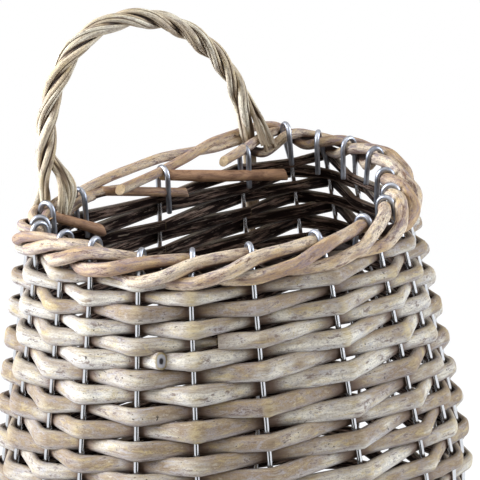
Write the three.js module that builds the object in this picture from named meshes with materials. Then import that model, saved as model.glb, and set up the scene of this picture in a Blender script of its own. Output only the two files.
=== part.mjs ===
import * as THREE from "three";

// Wall basket of split willow woven round bare wire stakes, with a waled rim and a twisted handle.
// Millimetres, +Z up, +Y towards the wall. The basket stands on z = 0, and its widest
// outline is centred on the Z axis. "Drop" is a distance down from the top of the wire hooks.

// Outline of the stakes: a half round front and a nearly straight back with round corners
const rimWidth = 200;
const rimDepth = 126.4;
const shoulderWidth = 257.6;
const shoulderDepth = 166.5;
const shoulderDrop = 150;
const baseWidth = 236;
const baseDepth = 151;
const backHalfShare = 0.345;
const frontExponent = 2.04;
const backExponent = 4.86;
const baseTurnInShares = { width: -0.8, depth: -0.5 };

// Wire stakes, placed by their shares of the way round from the middle of the back
const stakeShares = [
  0.085, 0.142, 0.177, 0.211, 0.263, 0.313, 0.355, 0.39, 0.436, 0.503,
  0.577, 0.631, 0.676, 0.722, 0.758, 0.796, 0.822, 0.851, 0.897, 0.989,
];
// How far each hook leans from its even place on the rim: to the right, to the wall and up
const hookShifts = [
  [1, 0, 0], [-3.5, 0, 6], [-1, 0, 0], [6, -1, 0], [2, 0, 4.4],
  [-4, 0, 2.2], [0, 0, 1], [2, 0, 0.5], [0, 0, 0], [-0.7, 0, 0],
  [3, 0, 0], [3.5, 0, 0], [0, 0, 0], [-2.7, 0, 0], [-5, 1, 0],
  [-6, 3, 0], [-1, 0, 0], [-4, 2, 0], [-7, 0, 0.5], [-1.5, 0, 0],
];
const wireDiameter = 2.7;
const hookTailLength = 17;
const wireClearance = 0.4;

// Rows of weaving
const rowCount = 25;
const rowPitch = 8.295;
const rowGap = 0.62;
const weaverThickness = 4.6;
const firstRowDrop = 34;
const firstRowHeight = 3.1;
const rowFrontRise = 12.2;
const rowBackRise = 14;
const backRiseLeftShare = 0.5;
const backReachShare = 0.45;
const levellingRows = 12;
const weaverEndGap = 0.6;
const firstSeamStake = 7;
const seamStep = 7;
const weaverSectionShares = [
  [-0.5, -0.4], [0.05, -0.5], [0.5, -0.22], [0.5, 0.22], [0.05, 0.5], [-0.5, 0.4],
];

// Three-rod waled rim
const rimRodDiameter = 6.5;
const rimRodCount = 3;
const rimRodSides = 6;
const rimClearance = 0.4;
const rimStrokeDrop = 8.4;
const rimCrossingRise = 0.8;
const rimBulge = 3.6;
const rimCrossingShift = 1.8;
const rimFrontRise = -3.4;
const rimSideRise = 1.6;
const rimCornerRise = 4;
const rimEndGap = 1.4;
const pairedSpan = 14;

// Handle of three twisted strands, as an arch on the back line of the rim
const handleLeft = -79;
const handleRight = 57;
const handleLeftLean = -14.3;
const handleLeftRise = 131;
const handleRightLean = -8.5;
const handleRightRise = 90;
const strandDiameter = 5.5;
const strandClearance = 0.3;
const strandSides = 6;
const strandCount = 3;
const handleTurns = 3;
const handleSplitShare = 0.06;
const legShares = { left: [0.235, 0.745, 0.49], right: [0.7, 0.17, 0.4] };
const innerTailLength = 62;

// Base board
const boardThickness = 6;
const boardOverhang = 8.5;
const holeClearance = 0.25;
const holeBottomGap = 0.5;
const seatGap = 0.3;

// Fineness of the faceted shapes
const outlineSteps = 480;
const clearingPasses = 6;
const wireSides = 6;
const turnInRuns = 7;
const hookSteps = 4;
const holeSides = 8;
const boardSteps = 64;
const strandSteps = 44;

const wireRadius = wireDiameter / 2;
const rimRodRadius = rimRodDiameter / 2;
const strandRadius = strandDiameter / 2;
const rodHeight = rowPitch - rowGap;
const lastRowDrop = firstRowDrop + rowPitch * (rowCount - 1);
const lastRowHeight = boardThickness + seatGap + rodHeight / 2;
const hookTop = lastRowHeight + lastRowDrop;
const boardDrop = hookTop - boardThickness;
const rimReach = wireRadius + rimClearance + rimRodRadius;
const hookRise = rimReach / Math.cos(Math.PI / hookSteps / 2);
const hookDrop = wireRadius + hookRise;
const levelDrop = lastRowDrop - levellingRows * rowPitch;
const handleReach = strandClearance + strandDiameter;
const wallReach = rimReach + rimBulge + rimRodRadius + handleReach;
const frontReach = wireRadius + wireClearance + weaverThickness;
const up = new THREE.Vector3(0, 0, 1);

const galvanised = new THREE.MeshStandardMaterial({ color: 0xb9bcc4, roughness: 0.32, metalness: 1 });
const greyWillow = new THREE.MeshStandardMaterial({ color: 0xb3a899, roughness: 0.8 });
const tanWillow = new THREE.MeshStandardMaterial({ color: 0xc8ab84, roughness: 0.75 });
const handleWillow = new THREE.MeshStandardMaterial({ color: 0xbfae90, roughness: 0.75 });
const plywood = new THREE.MeshStandardMaterial({ color: 0xa8977f, roughness: 0.85 });

// Sizes of the outline at a drop: a straight flare to the shoulder, then a round turn in to the board
function sizeAt(drop, rimSize, shoulderSize, baseSize, turnInShare) {
  const flare = (shoulderSize - rimSize) / shoulderDrop;
  if (drop <= shoulderDrop) return rimSize + flare * drop;
  const reach = boardDrop - shoulderDrop;
  const share = Math.min(1, (drop - shoulderDrop) / reach);
  const square = share * share;
  const cube = square * share;
  return shoulderSize * (2 * cube - 3 * square + 1) + flare * reach * (cube - 2 * square + share)
    + baseSize * (3 * square - 2 * cube) + turnInShare * reach * (cube - square);
}

function widthAt(drop) {
  return sizeAt(drop, rimWidth, shoulderWidth, baseWidth, baseTurnInShares.width);
}

function depthAt(drop) {
  return sizeAt(drop, rimDepth, shoulderDepth, baseDepth, baseTurnInShares.depth);
}

const depths = Array.from({ length: outlineSteps }, (_, step) => depthAt(boardDrop * step / outlineSteps));
const deepest = Math.max(...depths);
const wallLine = (deepest + frontReach - wallReach) / 2;

// One outline in plan, from the middle of the back round by the right side and the front
function outlineAt(drop) {
  const width = widthAt(drop);
  const depth = depthAt(drop);
  const backPart = backHalfShare * depth;
  const points = [];
  for (let step = 0; step <= outlineSteps; step += 1) {
    const angle = 2 * Math.PI * step / outlineSteps - Math.PI / 2;
    const front = Math.sin(angle) >= 0;
    const power = 2 / (front ? frontExponent : backExponent);
    const across = Math.sign(Math.cos(angle)) * Math.abs(Math.cos(angle)) ** power;
    const along = Math.abs(Math.sin(angle)) ** power;
    const fromWall = front ? backPart + (depth - backPart) * along : backPart * (1 - along);
    points.push(new THREE.Vector2(width / 2 * across, wallLine - fromWall));
  }
  const lengths = [0];
  for (let step = 1; step <= outlineSteps; step += 1) {
    lengths.push(lengths[step - 1] + points[step].distanceTo(points[step - 1]));
  }
  return { points, lengths, total: lengths[outlineSteps] };
}

const outlines = new Map();

function sharedOutline(drop) {
  const key = drop.toFixed(3);
  if (!outlines.has(key)) outlines.set(key, outlineAt(drop));
  return outlines.get(key);
}

// Point of the wall in plan, with its outward direction, at a share of the way round
function placeAt(share, drop) {
  const outline = sharedOutline(drop);
  const length = (share - Math.floor(share)) * outline.total;
  let step = 1;
  while (step < outlineSteps && outline.lengths[step] < length) step += 1;
  const start = outline.points[step - 1];
  const end = outline.points[step];
  const part = (length - outline.lengths[step - 1]) / (outline.lengths[step] - outline.lengths[step - 1]);
  const point = start.clone().lerp(end, part);
  const along = end.clone().sub(start).normalize();
  return { point, outward: new THREE.Vector3(-along.y, along.x, 0) };
}

// How much a level rises: the rim at its back right corner, the weaving at the back and at the front
function riseAt(drop, point) {
  const forward = (wallLine - point.y) / rimDepth;
  const side = point.x / (rimWidth / 2);
  const across = THREE.MathUtils.clamp((1 + side) / 2, 0, 1);
  const nearWall = 1 - THREE.MathUtils.smoothstep(forward, 0, backReachShare);
  const corner = rimCornerRise * nearWall * across * across;
  if (drop === 0) return rimFrontRise * forward + rimSideRise * side + corner;
  const toLevel = THREE.MathUtils.clamp((drop - levelDrop) / (lastRowDrop - levelDrop), 0, 1);
  const back = rowBackRise * nearWall * THREE.MathUtils.lerp(backRiseLeftShare, 1, across);
  return (rowFrontRise * forward + back) * (1 - toLevel);
}

// The lean of the hooks at a share of the way round, even between one stake and the next
function hookShiftAt(share) {
  const round = share - Math.floor(share);
  const count = stakeShares.length;
  const next = (stakeShares.findIndex((stakeShare) => stakeShare > round) + count) % count;
  const last = (next + count - 1) % count;
  const span = THREE.MathUtils.euclideanModulo(stakeShares[next] - stakeShares[last], 1);
  const part = THREE.MathUtils.euclideanModulo(round - stakeShares[last], 1) / span;
  return new THREE.Vector3(...hookShifts[last]).lerp(new THREE.Vector3(...hookShifts[next]), part);
}

function levelPoint(share, drop) {
  const { point } = placeAt(share, drop);
  const level = new THREE.Vector3(point.x, point.y, hookTop - drop + riseAt(drop, point));
  return drop === 0 ? level.add(hookShiftAt(share)) : level;
}

// Point of the wall at a drop, which is straight from the rim to the first row, moved outward
function wallPoint(share, drop, offset = 0) {
  const { outward } = placeAt(share, Math.min(drop, firstRowDrop));
  const point = levelPoint(share, Math.max(drop, firstRowDrop));
  if (drop < firstRowDrop) {
    const rim = levelPoint(share, 0);
    point.lerpVectors(rim, point.clone(), drop / (rim.z - point.z));
  }
  return point.addScaledVector(outward, offset);
}

// A closed skin over a row of like sections, with a flat lid on each end
function skin(sections) {
  const sides = sections[0].length;
  const corners = sections.flat();
  const index = [];
  for (let ring = 0; ring + 1 < sections.length; ring += 1) {
    for (let side = 0; side < sides; side += 1) {
      const near = ring * sides + side;
      const next = ring * sides + (side + 1) % sides;
      index.push(near, next, next + sides, near, next + sides, near + sides);
    }
  }
  const last = (sections.length - 1) * sides;
  for (let side = 1; side + 1 < sides; side += 1) {
    index.push(0, side + 1, side, last, last + side, last + side + 1);
  }
  let volume = 0;
  for (let face = 0; face < index.length; face += 3) {
    const [first, second, third] = [0, 1, 2].map((corner) => corners[index[face + corner]]);
    volume += first.dot(second.clone().cross(third));
  }
  if (volume < 0) index.reverse();
  const geometry = new THREE.BufferGeometry();
  const places = corners.flatMap((point) => point.toArray());
  geometry.setAttribute("position", new THREE.Float32BufferAttribute(places, 3));
  geometry.setIndex(index);
  geometry.computeVertexNormals();
  return geometry;
}

// A round rod along a path of points, its sections carried along without twisting
function roundRod(path, radius, sides) {
  const tangents = path.map((point, step) => {
    const before = path[Math.max(step - 1, 0)];
    const after = path[Math.min(step + 1, path.length - 1)];
    const incoming = point.clone().sub(before).normalize();
    const outgoing = after.clone().sub(point).normalize();
    return incoming.add(outgoing).normalize();
  });
  const seed = Math.abs(tangents[0].z) < 0.9 ? up : new THREE.Vector3(1, 0, 0);
  let side = seed.clone().cross(tangents[0]).normalize();
  const sections = path.map((point, step) => {
    const tangent = tangents[step];
    side = side.clone().addScaledVector(tangent, -side.dot(tangent)).normalize();
    const other = tangent.clone().cross(side);
    return Array.from({ length: sides }, (_, corner) => {
      const angle = 2 * Math.PI * (corner + 0.5) / sides;
      return point.clone()
        .addScaledVector(side, radius * Math.cos(angle))
        .addScaledVector(other, radius * Math.sin(angle));
    });
  });
  return skin(sections);
}

const basket = new THREE.Group();

function addPiece(name, geometry, material) {
  const piece = new THREE.Mesh(geometry, material);
  piece.name = name;
  basket.add(piece);
}

function numbered(name, number) {
  return `${name}_${String(number + 1).padStart(2, "0")}`;
}

// Distance in plan from a point to the line through two others
function planDistance(point, start, end) {
  const along = new THREE.Vector2(end.x - start.x, end.y - start.y).normalize();
  return Math.abs((point.x - start.x) * along.y - (point.y - start.y) * along.x);
}

// A woven row: outside one stake and inside the next, with its two ends meeting between two stakes
function weaverSections(row) {
  const drop = firstRowDrop + rowPitch * row;
  const full = row > 0;
  const tall = full ? rodHeight : firstRowHeight;
  const lowered = full ? 0 : (rodHeight - firstRowHeight) / 2;
  const seam = (firstSeamStake + seamStep * row) % stakeShares.length;
  const clear = wireRadius + wireClearance + weaverThickness / 2;
  const order = stakeShares.map((_, turn) => (seam + 1 + turn) % stakeShares.length);
  const stations = order.map((stake) => {
    const share = stakeShares[stake];
    const { point, outward } = placeAt(share, drop);
    const side = (stake + row) % 2 === 0 ? 1 : -1;
    return { share, point: new THREE.Vector3(point.x, point.y, 0), outward, side, offset: clear };
  });
  const spot = ({ point, outward, side, offset }) => point.clone().addScaledVector(outward, side * offset);
  const count = stations.length;
  for (let pass = 0; pass < clearingPasses; pass += 1) {
    const centres = stations.map(spot);
    stations.forEach((station, step) => {
      const distances = [centres[(step + count - 1) % count], centres[(step + 1) % count]]
        .map((other) => planDistance(station.point, centres[step], other));
      station.offset += clear - Math.min(...distances);
    });
  }
  const centres = stations.map(spot);
  const middle = centres[0].clone().lerp(centres[count - 1], 0.5);
  const seamAlong = centres[0].clone().sub(centres[count - 1]).normalize();
  const seamSpan = THREE.MathUtils.euclideanModulo(stations[0].share - stations[count - 1].share, 1);
  const seamShare = stations[count - 1].share + seamSpan / 2;
  const levels = stations.map(({ share }) => wallPoint(share, drop).z);
  const seamEnd = (gap) => ({
    at: middle.clone().addScaledVector(seamAlong, gap),
    share: seamShare,
    height: (levels[0] + levels[count - 1]) / 2,
  });
  const path = [
    seamEnd(weaverEndGap / 2),
    ...centres.map((at, step) => ({ at, share: stations[step].share, height: levels[step] })),
    seamEnd(-weaverEndGap / 2),
  ];
  return path.map(({ at, share, height }, step) => {
    const before = path[Math.max(step - 1, 0)].at;
    const after = path[Math.min(step + 1, path.length - 1)].at;
    const incoming = step > 0 ? at.clone().sub(before).normalize() : after.clone().sub(at).normalize();
    const outgoing = step + 1 < path.length ? after.clone().sub(at).normalize() : incoming;
    const bisector = incoming.clone().add(outgoing).normalize();
    const outward = new THREE.Vector3(-bisector.y, bisector.x, 0);
    const mitre = 1 / Math.sqrt((1 + incoming.dot(outgoing)) / 2);
    const level = wallPoint(share, drop);
    const lower = wallPoint(share, drop + tall / 2);
    const fall = level.z - lower.z;
    const lean = lower.clone().sub(level).divideScalar(fall);
    const centre = new THREE.Vector3(at.x, at.y, height).addScaledVector(lean, lowered);
    return weaverSectionShares.map(([outShare, upShare]) => centre.clone()
      .addScaledVector(lean, -upShare * tall)
      .addScaledVector(outward, outShare * weaverThickness * mitre));
  });
}

// A rim rod: over the top to the inside of one stake, then outside two stakes, high and low
function rimRodStations(rod) {
  const places = {
    inside: { offset: -rimReach, drop: hookDrop },
    high: { offset: rimReach, drop: hookDrop - rimCrossingRise },
    low: { offset: rimReach, drop: hookDrop - rimCrossingRise + rimStrokeDrop },
    over: { offset: rimCrossingShift, drop: hookDrop - 2 * rimCrossingRise },
    bulge: { offset: rimReach + rimBulge, drop: hookDrop - rimCrossingRise + rimStrokeDrop / 2 },
    under: { offset: -rimCrossingShift, drop: hookDrop + rimStrokeDrop },
  };
  const cycle = ["inside", "over", "high", "bulge", "low", "under"];
  const rimLength = sharedOutline(0).total;
  const lastStake = stakeShares.length - 1;
  const halfGapShare = rimEndGap / rimLength / 2;
  const placeOf = (step) => places[cycle[(step + cycle.length) % cycle.length]];
  let beat = 2 * rod;
  const startShare = (stakeShares[lastStake] - 1 + stakeShares[0]) / 2 + halfGapShare;
  const stations = [{ share: startShare, atStake: false, ...placeOf(beat - 1) }];
  stakeShares.forEach((share, stake) => {
    const next = stake === lastStake ? stakeShares[0] + 1 : stakeShares[stake + 1];
    stations.push({ share, atStake: true, ...placeOf(beat) });
    if ((next - share) * rimLength < pairedSpan) return;
    const middle = (share + next) / 2 - (stake === lastStake ? halfGapShare : 0);
    stations.push({ share: middle, atStake: false, ...placeOf(beat + 1) });
    beat += 2;
  });
  for (let pass = 0; pass < clearingPasses; pass += 1) {
    const path = stations.map(({ share, drop, offset }) => wallPoint(share, drop, offset));
    stations.forEach((station, step) => {
      if (!station.atStake) return;
      const wire = wallPoint(station.share, station.drop);
      const distances = [path[step - 1], path[step + 1]].filter(Boolean)
        .map((other) => planDistance(wire, path[step], other));
      station.offset += Math.sign(station.offset) * (rimReach - Math.min(...distances));
    });
  }
  return stations;
}

const rimRods = Array.from({ length: rimRodCount }, (_, rod) => rimRodStations(rod));

// The reach of each hook over the rim rod that lies inside its stake
const hookReaches = stakeShares.map((share) => {
  const offsets = rimRods.flat().filter((station) => station.share === share).map(({ offset }) => offset);
  return -Math.min(...offsets);
});

// A stake: straight in its hole of the board, up the wall, over the inner rim rod and down inside
function stakePath(share, stake) {
  const foot = wallPoint(share, boardDrop);
  const path = [new THREE.Vector3(foot.x, foot.y, holeBottomGap), foot];
  for (let run = 1; run <= turnInRuns; run += 1) {
    path.push(wallPoint(share, THREE.MathUtils.lerp(boardDrop, shoulderDrop, run / turnInRuns)));
  }
  [levelDrop, firstRowDrop].forEach((drop) => path.push(wallPoint(share, drop)));
  const shoulder = wallPoint(share, hookDrop);
  const { outward } = placeAt(share, hookDrop);
  for (let step = 0; step <= hookSteps; step += 1) {
    const angle = Math.PI * step / hookSteps;
    const spread = step > 0 && step < hookSteps ? hookRise / rimReach : 1;
    path.push(shoulder.clone()
      .addScaledVector(outward, hookReaches[stake] * (Math.cos(angle) * spread - 1))
      .addScaledVector(up, hookRise * Math.sin(angle)));
  }
  path.push(path[path.length - 1].clone().addScaledVector(up, -hookTailLength));
  return path;
}

// The arch of the handle on the wall line
const archEnd = (x) => new THREE.Vector3(x, wallLine, hookTop);
const arch = new THREE.CubicBezierCurve3(
  archEnd(handleLeft),
  archEnd(handleLeft + handleLeftLean).addScaledVector(up, handleLeftRise),
  archEnd(handleRight + handleRightLean).addScaledVector(up, handleRightRise),
  archEnd(handleRight),
);

// A handle leg at a share of the way between two stakes, given by offsets from the wall and drops
function legPoints(fromStake, toStake, legShare, places) {
  const from = stakeShares[fromStake];
  const to = stakeShares[toStake];
  const share = THREE.MathUtils.lerp(from, to, legShare);
  return places.map(({ offset, drop }) => wallPoint(share, drop, offset));
}

function strandPath(strand) {
  const laid = (strandDiameter + strandClearance) / Math.sqrt(strandCount);
  const inner = -(rimReach + rimRodRadius + strandClearance + strandRadius);
  const outer = rimReach + rimBulge + rimRodRadius + strandClearance + strandRadius;
  const belowRim = hookDrop + rimStrokeDrop + rimRodRadius + strandClearance + strandRadius;
  const hookedInside = [
    { offset: outer, drop: hookDrop + rimRodRadius },
    { offset: outer, drop: belowRim - strandRadius },
    { offset: 0, drop: belowRim + strandRadius / 2 },
    { offset: inner, drop: belowRim - strandRadius },
    { offset: inner, drop: hookDrop },
  ];
  const hookedOutside = hookedInside.map(({ offset, drop }) => ({ offset: outer + inner - offset, drop }));
  const straightInside = [
    { offset: inner, drop: hookDrop + innerTailLength },
    { offset: inner, drop: belowRim },
    { offset: inner, drop: hookDrop },
  ];
  const cutInside = straightInside.slice(1);
  const lastStake = stakeShares.length - 1;
  const leftPlaces = [hookedInside, hookedInside, hookedOutside][strand];
  const rightPlaces = [cutInside, straightInside, hookedOutside][strand];
  const left = legPoints(lastStake - 2, lastStake - 1, legShares.left[strand], leftPlaces);
  const right = legPoints(0, 1, legShares.right[strand], rightPlaces).reverse();
  const phase = Math.PI + 2 * Math.PI * strand / strandCount;
  const twist = [];
  for (let step = 0; step <= strandSteps; step += 1) {
    const share = THREE.MathUtils.lerp(handleSplitShare, 1 - handleSplitShare, step / strandSteps);
    const centre = arch.getPointAt(share);
    const tangent = arch.getTangentAt(share);
    const toWall = new THREE.Vector3(0, 1, 0);
    const inward = toWall.clone().cross(tangent).normalize();
    const angle = phase + 2 * Math.PI * handleTurns * step / strandSteps;
    twist.push(centre
      .addScaledVector(inward, laid * Math.cos(angle))
      .addScaledVector(toWall, laid * Math.sin(angle)));
  }
  return [...left, ...twist, ...right];
}

// The board: the outline of its stakes with an even overhang, and a hole for each stake
function baseBoard() {
  const edge = Array.from({ length: boardSteps }, (_, step) => {
    const { point, outward } = placeAt(step / boardSteps, boardDrop);
    return new THREE.Vector2(point.x + outward.x * boardOverhang, point.y + outward.y * boardOverhang);
  });
  const shape = new THREE.Shape(edge);
  const holeRadius = (wireRadius + holeClearance) / Math.cos(Math.PI / holeSides);
  stakeShares.forEach((share) => {
    const { point } = placeAt(share, boardDrop);
    const hole = Array.from({ length: holeSides }, (_, corner) => {
      const angle = 2 * Math.PI * (corner + 0.5) / holeSides;
      return new THREE.Vector2(Math.cos(angle), Math.sin(angle)).multiplyScalar(holeRadius).add(point);
    });
    shape.holes.push(new THREE.Path(hole));
  });
  return new THREE.ExtrudeGeometry(shape, { depth: boardThickness, bevelEnabled: false, curveSegments: 1 });
}

addPiece("base_board", baseBoard(), plywood);
stakeShares.forEach((share, stake) => {
  const wire = roundRod(stakePath(share, stake), wireRadius, wireSides);
  addPiece(numbered("wire_stake", stake), wire, galvanised);
});
for (let row = 0; row < rowCount; row += 1) {
  addPiece(numbered("weaver_row", row), skin(weaverSections(row)), greyWillow);
}
rimRods.forEach((stations, rod) => {
  const path = stations.map(({ share, drop, offset }) => wallPoint(share, drop, offset));
  addPiece(numbered("rim_rod", rod), roundRod(path, rimRodRadius, rimRodSides), tanWillow);
});
for (let strand = 0; strand < strandCount; strand += 1) {
  const rope = roundRod(strandPath(strand), strandRadius, strandSides);
  addPiece(numbered("handle_strand", strand), rope, handleWillow);
}

export default basket;
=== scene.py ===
import functools
import math

import bpy
import numpy as np
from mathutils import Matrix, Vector

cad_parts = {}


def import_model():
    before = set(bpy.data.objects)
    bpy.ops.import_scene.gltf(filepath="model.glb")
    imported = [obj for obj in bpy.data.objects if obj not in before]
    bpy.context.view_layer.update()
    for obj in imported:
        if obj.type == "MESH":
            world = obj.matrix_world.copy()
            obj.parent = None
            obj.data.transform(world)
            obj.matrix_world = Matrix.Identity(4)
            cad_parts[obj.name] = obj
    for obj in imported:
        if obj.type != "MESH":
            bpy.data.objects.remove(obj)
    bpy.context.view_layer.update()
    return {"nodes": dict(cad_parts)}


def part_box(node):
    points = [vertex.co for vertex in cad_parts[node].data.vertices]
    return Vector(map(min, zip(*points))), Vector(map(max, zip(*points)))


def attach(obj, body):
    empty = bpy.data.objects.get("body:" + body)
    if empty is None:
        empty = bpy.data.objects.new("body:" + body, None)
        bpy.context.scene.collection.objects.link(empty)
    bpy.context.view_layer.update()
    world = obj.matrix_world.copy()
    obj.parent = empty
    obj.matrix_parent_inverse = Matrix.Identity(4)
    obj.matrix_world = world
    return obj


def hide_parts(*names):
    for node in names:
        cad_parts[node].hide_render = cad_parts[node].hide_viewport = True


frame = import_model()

# Lengths are in millimetres, +Z up, +Y towards the wall, as in the frame. A drop is a distance
# down from the top of the wire hooks, and a share is a share of the way round from the middle of the back.
# A sway is how far a size wanders and the wavelength over which it does.
METRE = 1000.0
UPRIGHT = (0.0, 0.0, 1.0)

# Outline of the stakes
RIM_WIDTH = 200.0
RIM_DEPTH = 126.4
SHOULDER_WIDTH = 257.6
SHOULDER_DEPTH = 166.5
SHOULDER_DROP = 150.0
BASE_WIDTH = 236.0
BASE_DEPTH = 151.0
BACK_HALF_SHARE = 0.345
FRONT_ROUNDNESS = 2.04
BACK_ROUNDNESS = 4.86
TURN_IN_WIDTH_SHARE = -0.8
TURN_IN_DEPTH_SHARE = -0.5
OUTLINE_STEPS = 720
PLAN_REACH = 1.5

# Stakes
STAKE_SHARES = (
    0.085, 0.142, 0.177, 0.211, 0.263, 0.313, 0.355, 0.39, 0.436, 0.503,
    0.577, 0.631, 0.676, 0.722, 0.758, 0.796, 0.822, 0.851, 0.897, 0.989,
)
# How far each hook leans from its even place on the rim: to the right, to the wall and up
HOOK_SHIFTS = (
    (1, 0, -0.7), (-3.5, 0, 6), (-1, 0, -0.5), (6, -1, 0), (2, 0, 4.4),
    (-4, 0, 2.2), (0, 0, 0.9), (2, 0, 0.4), (0, 0, -1.5), (-0.7, 0, -0.5),
    (3, 0, -0.6), (3.5, 0, -2), (0, 0, -2.8), (-2.7, 0, -0.5), (-5, 1, -1.5),
    (-6, 3, -3.2), (-1, 0, -4.4), (-4, 2, -1.3), (-7, 0, 0.5), (-1.5, 0, 0),
)
WIRE_RADIUS = 1.45
HOOK_TAIL = 17.0
HOOK_REACH = 4.3
HOOK_STEPS = 12
RIM_HOOK_DROP = 6.68
TAIL_SPREAD = (-3, 4)
TAIL_LEAN_OUT = (-1, 1.5)
TAIL_LEAN_ALONG = (-2, 2)
FOOT_HEIGHT = 0.5
LOWER_STEPS = 13
UPPER_STEPS = 8
WIRE_BEND = 0.9
WIRE_SPACING = 1.1
WIRE_END_SHARE = 0.8
WIRE_SIDE = (1, 0.1, 0)
DULL_DROP = 24.0
DULL_FADE = 10.0
STAKE_SEED = 100

# Rows
ROW_COUNT = 25
ROW_PITCH = 8.295
FIRST_ROW_DROP = 34.0
FRONT_RISE = 12.2
BACK_RISE = 18.5
BACK_RISE_LEFT_SHARE = 0.5
BACK_REACH_SHARE = 0.45
LEVELLING_ROWS = 12
ROD_HEIGHT = 8.0
ROD_THICKNESS = 4.6
WOVEN_CLEARANCE = 0.3
OUTSIDE_HEIGHT = 9.7
INSIDE_HEIGHT = 8.0
SLIM_SHARES = (0.1, 0.2, 0.4, 0.47)
SLIM_LOSS = 1.5
FOLD = 0.9
INSIDE_BEND = 4.0
TIGHT_BEND = 5.0
SHARP_TURN = 0.72
BEND_LEG_SHARE = 0.42
BEND_STEPS = 8
CLEARING_ROUNDS = 6
LEAN_REACH = 2.0
LIFT_ROWS = (0, 3, 5, 8, 10, 14, 24)
ROW_LIFTS = (2.2, 4.4, 5.2, 3.6, 2.4, 2.6, 0)
SPREAD_ROWS = (0, 1, 3, 6, 11, 24)
ROW_SPREADS = (-2.2, -1.4, -0.6, 1, 0.4, 0.2)
LEVEL_SPREAD = 0.65
HEIGHT_SPREAD = 0.9
ROW_SEED = 300

# Where the rods of a row may end, and in the open: start of one and end of the other, in stakes, by row
FRONT_JOINT_STAKES = (9, 10, 11, 12, 13)
BACK_JOINT_STAKES = (18, 19, 0, 1)
OPEN_JOINTS = {4: (10.66, 10.63), 5: (11.53, 11.78)}
STUB_ROW = 5
STUB_REACH = 5.5
STUB_LENGTH = 15.0
STUB_FLAT_SHARE = 0.9
MEETING_ROW = 4
TIP_LENGTH = 11.0
TIP_SHARE = 0.55
TIP_REACH = 0.8
BUTT_LENGTH = 14.0
BUTT_REACH = 1.6
BUTT_STAIN = 0.24

# Section of a split rod
ROD_SPAN = 30.0
ROD_SPACING = 2.4
ROD_ACROSS_SHARE = 0.78
BACKSET_SHARE = 0.3
FLAT_SHARE = 0.16
SQUARE_SHARE = 0.78
ROW_RIDGE = 0.016
ROW_KNOTS = (1, 4)
TAPER_LENGTH = 25.0
TAPER_SHARE = 0.86
LEAN_SWAY = (0.14, 120)
TALL_SWAY = (0.045, 50)
ACROSS_SWAY = (0.04, 60)
CREASE_WIDTH = 1.4
CREASE_SHARE = 0.05
CREASED_SIDE = 0.85
CREASE_STRENGTHS = (-0.3, 1)
# How brown and dark a row gets where it goes in behind a stake: stains and painted shade
INSIDE_STAIN_AND_SHADE = 0.65
STAIN_AND_SHADE_SLOPE = 1.1

# Rim
RIM_RADIUS = 3.5
RIM_BACK_RADIUS_SHARE = 0.75
RIM_BACK_STROKE_SHARE = 0.7
# Reach of the painted shade where the rim rods face the middle of the rim
RIM_CREVICE_SHADE_REACH = 4.7
RIM_REACH = 5.1
RIM_STROKE = 8.8
RIM_CROSSING_RISE = 0.8
RIM_CROSSING_SHIFT = 1.8
RIM_BULGE = 3.6
RIM_FRONT_RISE = -4.0
RIM_SIDE_RISE = 1.6
RIM_CORNER_RISE = 4.0
PAIRED_SPAN = 14.0
RIM_BACK_OFFSET_SHARE = 0.85
NEAR_WALL_SHARE = 0.5
RIM_CORE_STEPS = 700
RIM_CORE_OFFSET = 1.5
RIM_CORE_STROKE_SHARE = 0.45
RIM_BEND = 3.0
RIM_SPACING = 1.4
RIM_SWAY = (0.05, 80)
RIM_RIDGE = 0.022
RIM_KNOTS = 9
RIM_SEED = 700

# The stations at the start and at the end of each rim rod: share, offset from the wall and drop
RIM_ENDS = (
    (((0.0585, -8, 5.5), (0.0856, -5, 3.2), (0.1189, -1, 4)),
     ((0.915, 0, 9),)),
    (((-0.0598, -8, 6.2), (-0.0128, -4, 4), (0.0228, -1, 1), (0.06, 4, -1.9), (0.098, 6.5, -0.7),
      (0.12, 6, 0.5), (0.142, 5, 5)),
     ((0.9, 1, 9), (0.93, 0, 8), (0.957, -2, 9.5))),
    (((0.098, 2, 8),),
     ((0.905, 3, 6.2), (0.942, 4, 2.5), (0.9996, 4.5, -0.5), (1.0305, 3, 0), (1.06, 3, 1.6),
      (1.1, 5, 3.2))),
)

# Loose rods under the rim, by the rim rod that they go with: radius, share of brown bark and route
LOOSE_RODS = (
    ((3.2, 1, ((0.9935, -5, 6.2), (1.0528, -8.5, 13.8), (1.122, -8.5, 26.5))),),
    ((2.5, 0.6, ((0.927, 0, 7.8), (0.9618, -5, 11.5), (1.0082, -8, 17.5))),),
    ((2.9, 0.9, ((0.906, -10, 24.2), (0.857, -7, 9.5))),),
)
END_SLANT = 0.6
LOOSE_BEND = 6.0
LOOSE_SWAY = (0.05, 50)
LOOSE_SEED = 760

# Handle
HANDLE_LEFT = -79.0
HANDLE_RIGHT = 57.0
HANDLE_LEFT_LEAN = -14.3
HANDLE_LEFT_RISE = 131.0
HANDLE_RIGHT_LEAN = -8.5
HANDLE_RIGHT_RISE = 90.0
HANDLE_TURNS = 4.2
HANDLE_PHASE = 4.765
ROPE_RADIUS = 2.95
STRAND_STEP = 1.3
BUNDLE_TURN = 150.0
FAN_START = 1.15
# Reach of the painted shade in the crevice at the middle of the twisted rope
ROPE_CREVICE_SHADE_REACH = 3.9
ARCH_STEPS = 400
ARCH_SPACING = 1.0
HANDLE_BEND = 3.2
HANDLE_SWAY = (0.05, 60)
HANDLE_SIDE = (0, 1, 0.2)
HANDLE_SEED = 900
FAN_STEP = 2.1
FAN_WANDER = (0.4, 30)
FAN_DEPTH = (0.8, 30)
RIGHT_FAN_STAIN = 0.35
RAGGED_STEPS = 4
# Painted shade in the grooves between the rods of a strand, for rods this far from its middle, and on the
# side of fanned rods that faces the wall
GROOVED_REACH = 1.0
WALL_SIDE = (0.3, 0.9, -0.3)
WALL_SHADE = 0.9
WALL_SHADE_RADIUS_SHARE = 1.3

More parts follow.
